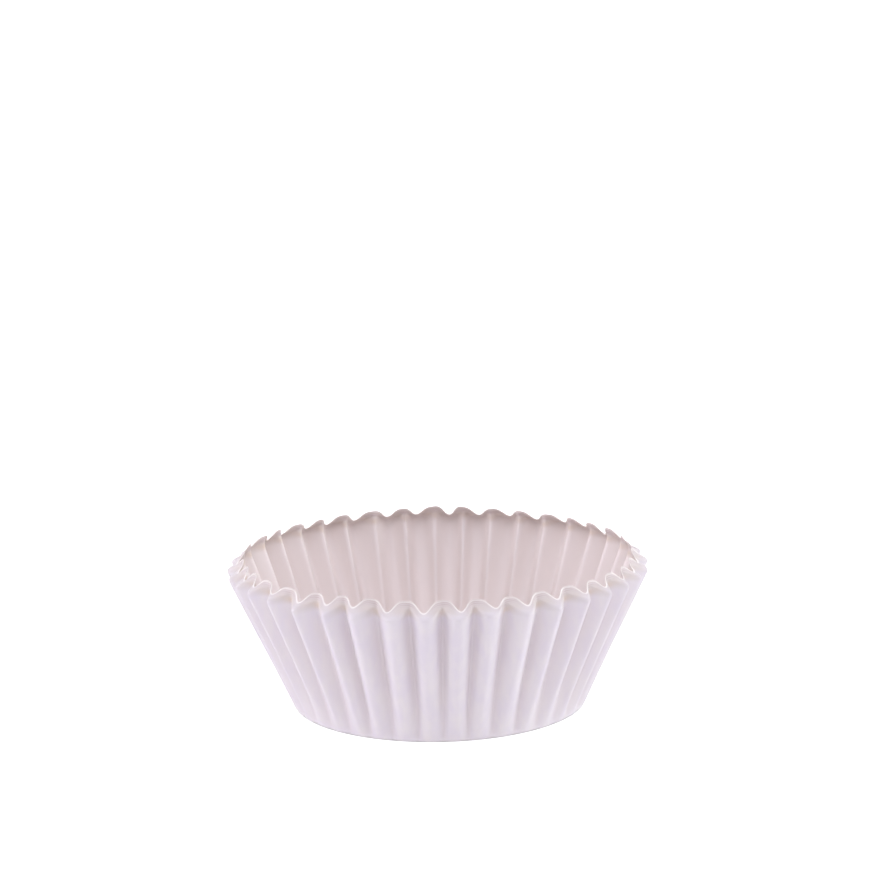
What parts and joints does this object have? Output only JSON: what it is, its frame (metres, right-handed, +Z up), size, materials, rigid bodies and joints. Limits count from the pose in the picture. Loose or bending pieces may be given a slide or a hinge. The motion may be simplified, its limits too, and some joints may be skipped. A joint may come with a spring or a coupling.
{
  "type": "cupcake liner",
  "caption": "Fluted paper baking cup with a flat round floor, a pleated wall that flares out and a scalloped rim whose lip turns in; it holds batter while a cake bakes.",
  "frame": {"origin": "centre of the underside of the floor, on the table", "axes": "+Z up out of the mouth, along the axis of the cup; +X through a ridge of the flutes"},
  "size_m": [0.0722, 0.072, 0.0261],
  "materials": {
    "greaseproof_paper": "thin white greaseproof paper, smooth and slightly waxy, satin"
  },
  "bodies": {
    "root": {"liner": "greaseproof_paper"}
  },
  "joints": []
}
